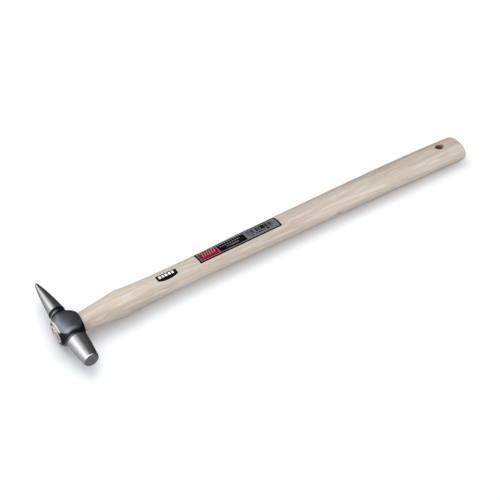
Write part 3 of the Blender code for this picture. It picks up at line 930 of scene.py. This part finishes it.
def filmMaterial():
    # the print's own colour, a little mottled and scuffed, under a dull film
    material, tree, shader = newMaterial("printedFilm")
    printed = tree.nodes.new("ShaderNodeAttribute")
    printed.attribute_name = "print"
    place = ownCoordinates(tree)
    mottle = noise(tree, stretched(tree, place, 1.1, 1.1, 1.1), 4, 0.6)
    shade = maths(tree, "MULTIPLY_ADD", mottle, 0.3, 0.85)
    colour = mixColour(tree, 1.0, printed.outputs["Color"], shade, "MULTIPLY")
    scuff = noise(tree, stretched(tree, place, 0.25, 3.0, 3.0, 2.0), 3, 0.6)
    colour = tint(tree, colour, (0.5, 0.5, 0.5, 1), step(tree, scuff, 0.62, 0.78), 0.1)
    tree.links.new(colour, shader.inputs["Base Color"])
    tree.links.new(maths(tree, "MULTIPLY_ADD", scuff, 0.25, 0.22), shader.inputs["Roughness"])
    ripple = noise(tree, stretched(tree, place, 0.18, 0.3, 0.3), 2)
    bump(tree, shader, ripple, 0.2, 0.15)
    shader.inputs["Specular IOR Level"].default_value = 0.08
    return material


def labelLimits(x):
    # both limiting angles change evenly from one end to the other
    t = (x - label["x"][0]) / (label["x"][1] - label["x"][0])
    return [a + t * (b - a) for a, b in zip(label["start"], label["finish"])]


def badgeLimits(x):
    # a straight far edge and a near edge that bulges towards the middle
    s = badge
    radius = smoothCurve(x, handle["grip"])[:, 0]
    half = np.degrees(s["width"] / 2 / radius)
    t = (x - s["x"][0]) / (s["x"][1] - s["x"][0])
    along = np.clip(np.abs(t - s["bulge"]) / np.where(t < s["bulge"], s["bulge"], 1 - s["bulge"]), 0, 1)
    return s["middle"] + half - s["droop"] * along ** 2, s["middle"] - half


forged = makeHead(headMaterial())
ride(forged, "hammer_head")
print("head:", len(forged.data.polygons), "faces")

wooden = makeHandle(woodMaterial("ashWood", ashLook))
ride(wooden, "handle")
wooden.visible_glossy = False
print("handle:", len(wooden.data.polygons), "faces")

endWedge = makeWoodWedge(woodMaterial("wedgeWood", wedgeLook))
ride(endWedge, "wooden_wedge")
wedgeSteel = wedgeSteelMaterial()
for number in (1, 2):
    crossWedge = steelBlock(f"crossWedge{number}", number, wedgeSteel)
    ride(crossWedge, f"steel_wedge_{number}")
print("wedges done")

printed = filmMaterial()
sticker, *layout = film("gripLabel", label, labelLimits, printed)
paint(sticker, printLabel(*layout))
ride(sticker, "product_label")
plate, *layout = film("neckBadge", badge, badgeLimits, printed)
paint(plate, printBadge(*layout))
ride(plate, "badge")
print("stickers done")

studio = {
    "azimuth": -34.51,              # the camera's, from -Y towards +X
    "elevation": 43.26,
    "distance": 0.85,
    "lens": 68.16,
    "aim": (177.1, -7.3, 0.0),
    "floorColour": (0.868, 0.884, 0.905, 1),
    "floorSize": 6.0,
    "keyLight": {"azimuth": 162, "elevation": 62, "distance": 0.8, "size": 0.75, "power": 2.9},
    "washFrom": (-0.12, -0.88, 0.46),       # brightest side of what matt surfaces see
    "washLevel": 0.97,
    "washLean": 0.84,
    "frontBox": 1.2,                # brightness of the soft box that polished surfaces see
    "backdrop": 1.2,                # and of the backdrop that the camera sees
    # degrees from straight up towards +X, and how bright that side looks
    "surround": ((-180, 0.98), (-145, 0.46), (-112, 0.65), (-90, 0.85), (-66, 1.6), (-46, 2.12), (-30, 1.75),
                 (-12, 1.0), (2, 0.64), (20, 0.19), (60, 0.11), (120, 0.05), (150, 0.17), (180, 0.75)),
}


def direction(azimuth, elevation):
    # unit vector at an azimuth from -Y towards +X and an elevation above the floor
    a, e = radians(azimuth), radians(elevation)
    return Vector((sin(a) * cos(e), -cos(a) * cos(e), sin(e)))


def makeCamera():
    # looks at a point near the handle's axis from the studio's azimuth and elevation
    aim = Vector(crossing + np.array(studio["aim"]) * mm)
    back = direction(studio["azimuth"], studio["elevation"])
    data = bpy.data.cameras.new("studioCamera")
    data.lens = studio["lens"]
    data.sensor_width = 36
    camera = bpy.data.objects.new("studioCamera", data)
    camera.location = aim + back * studio["distance"]
    camera.rotation_euler = (-back).to_track_quat("-Z", "Y").to_euler()
    bpy.context.collection.objects.link(camera)
    bpy.context.scene.camera = camera


def makeFloor():
    # the floor passes under the lower cheek and just touches the butt, so it leans a little
    places = np.array([v.co for v in wooden.data.vertices])
    away = places[:, 0] - crossing[0]
    low = away > 350 * mm
    lean = (places[low, 2] / away[low]).min()
    size = studio["floorSize"]
    corners = []
    for x, y in ((-1, -1), (1, -1), (1, 1), (-1, 1)):
        corners.append((crossing[0] + x * size, y * size, x * size * lean - 0.00005))
    mesh = bpy.data.meshes.new("studioFloor")
    mesh.from_pydata(corners, [], [(0, 1, 2, 3)])
    floor = bpy.data.objects.new("studioFloor", mesh)
    bpy.context.collection.objects.link(floor)
    material, _, shader = newMaterial("floorPaper")
    shader.inputs["Base Color"].default_value = studio["floorColour"]
    shader.inputs["Roughness"].default_value = 0.9
    shader.inputs["Specular IOR Level"].default_value = 0.1
    mesh.materials.append(material)
    floor.visible_glossy = False
    floor.visible_diffuse = False


def makeLight(name):
    # a soft round lamp that faces the crossing and leaves no glint
    lamp = studio[name]
    data = bpy.data.lights.new(name, "AREA")
    data.shape = "DISK"
    data.size = lamp["size"]
    data.energy = lamp["power"]
    light = bpy.data.objects.new(name, data)
    back = direction(lamp["azimuth"], lamp["elevation"])
    light.location = Vector(crossing) + back * lamp["distance"]
    light.rotation_euler = back.to_track_quat("Z", "Y").to_euler()
    light.visible_glossy = False
    bpy.context.collection.objects.link(light)


def makeWorld():
    # light from a direction d: matt surfaces get level + lean (d . from), a soft wash from the
    # front; polished ones see a studio whose brightness depends on the angle round the Y axis,
    # less towards +Y, and one more soft box high in front
    world = bpy.data.worlds.new("studio")
    bpy.context.scene.world = world
    world.use_nodes = True
    tree = world.node_tree
    tree.nodes.clear()
    coordinates = tree.nodes.new("ShaderNodeTexCoord")
    x, y, z = axes(tree, coordinates.outputs["Generated"])
    wash = studio["washLevel"]
    for component, weight in zip((x, y, z), studio["washFrom"]):
        wash = maths(tree, "MULTIPLY_ADD", component, weight * studio["washLean"], wash)
    wash = maths(tree, "MAXIMUM", wash, 0.08)

    turn = maths(tree, "ARCTAN2", x, z)
    ramp = tree.nodes.new("ShaderNodeValToRGB")
    ramp.color_ramp.interpolation = "EASE"
    plug(tree, maths(tree, "MULTIPLY_ADD", turn, 0.5 / pi, 0.5), ramp.inputs["Fac"])
    top = max(level for _, level in studio["surround"])
    stops = ramp.color_ramp.elements
    for degrees, level in studio["surround"][1:-1]:
        stops.new(degrees / 360 + 0.5)
    for stop, (_, level) in zip(stops, studio["surround"]):
        stop.color = (level / top,) * 3 + (1,)
    fade = maths(tree, "MULTIPLY_ADD", step(tree, y, 0.6, 0.9), -0.25, 1.0)
    level = times(tree, ramp.outputs["Color"], top, fade)
    front = times(tree, step(tree, y, -0.58, -0.7), step(tree, z, 0.1, 0.4))
    level = maths(tree, "MULTIPLY_ADD", front, studio["frontBox"], level)

    rays = tree.nodes.new("ShaderNodeLightPath")
    strength = mixValue(tree, rays.outputs["Is Glossy Ray"], wash, level)
    strength = mixValue(tree, rays.outputs["Is Camera Ray"], strength, studio["backdrop"])
    background = tree.nodes.new("ShaderNodeBackground")
    output = tree.nodes.new("ShaderNodeOutputWorld")
    tree.links.new(strength, background.inputs["Strength"])
    tree.links.new(background.outputs[0], output.inputs["Surface"])


makeCamera()
makeFloor()
makeLight("keyLight")
makeWorld()
bpy.context.scene.view_settings.view_transform = "Standard"
print("studio done")
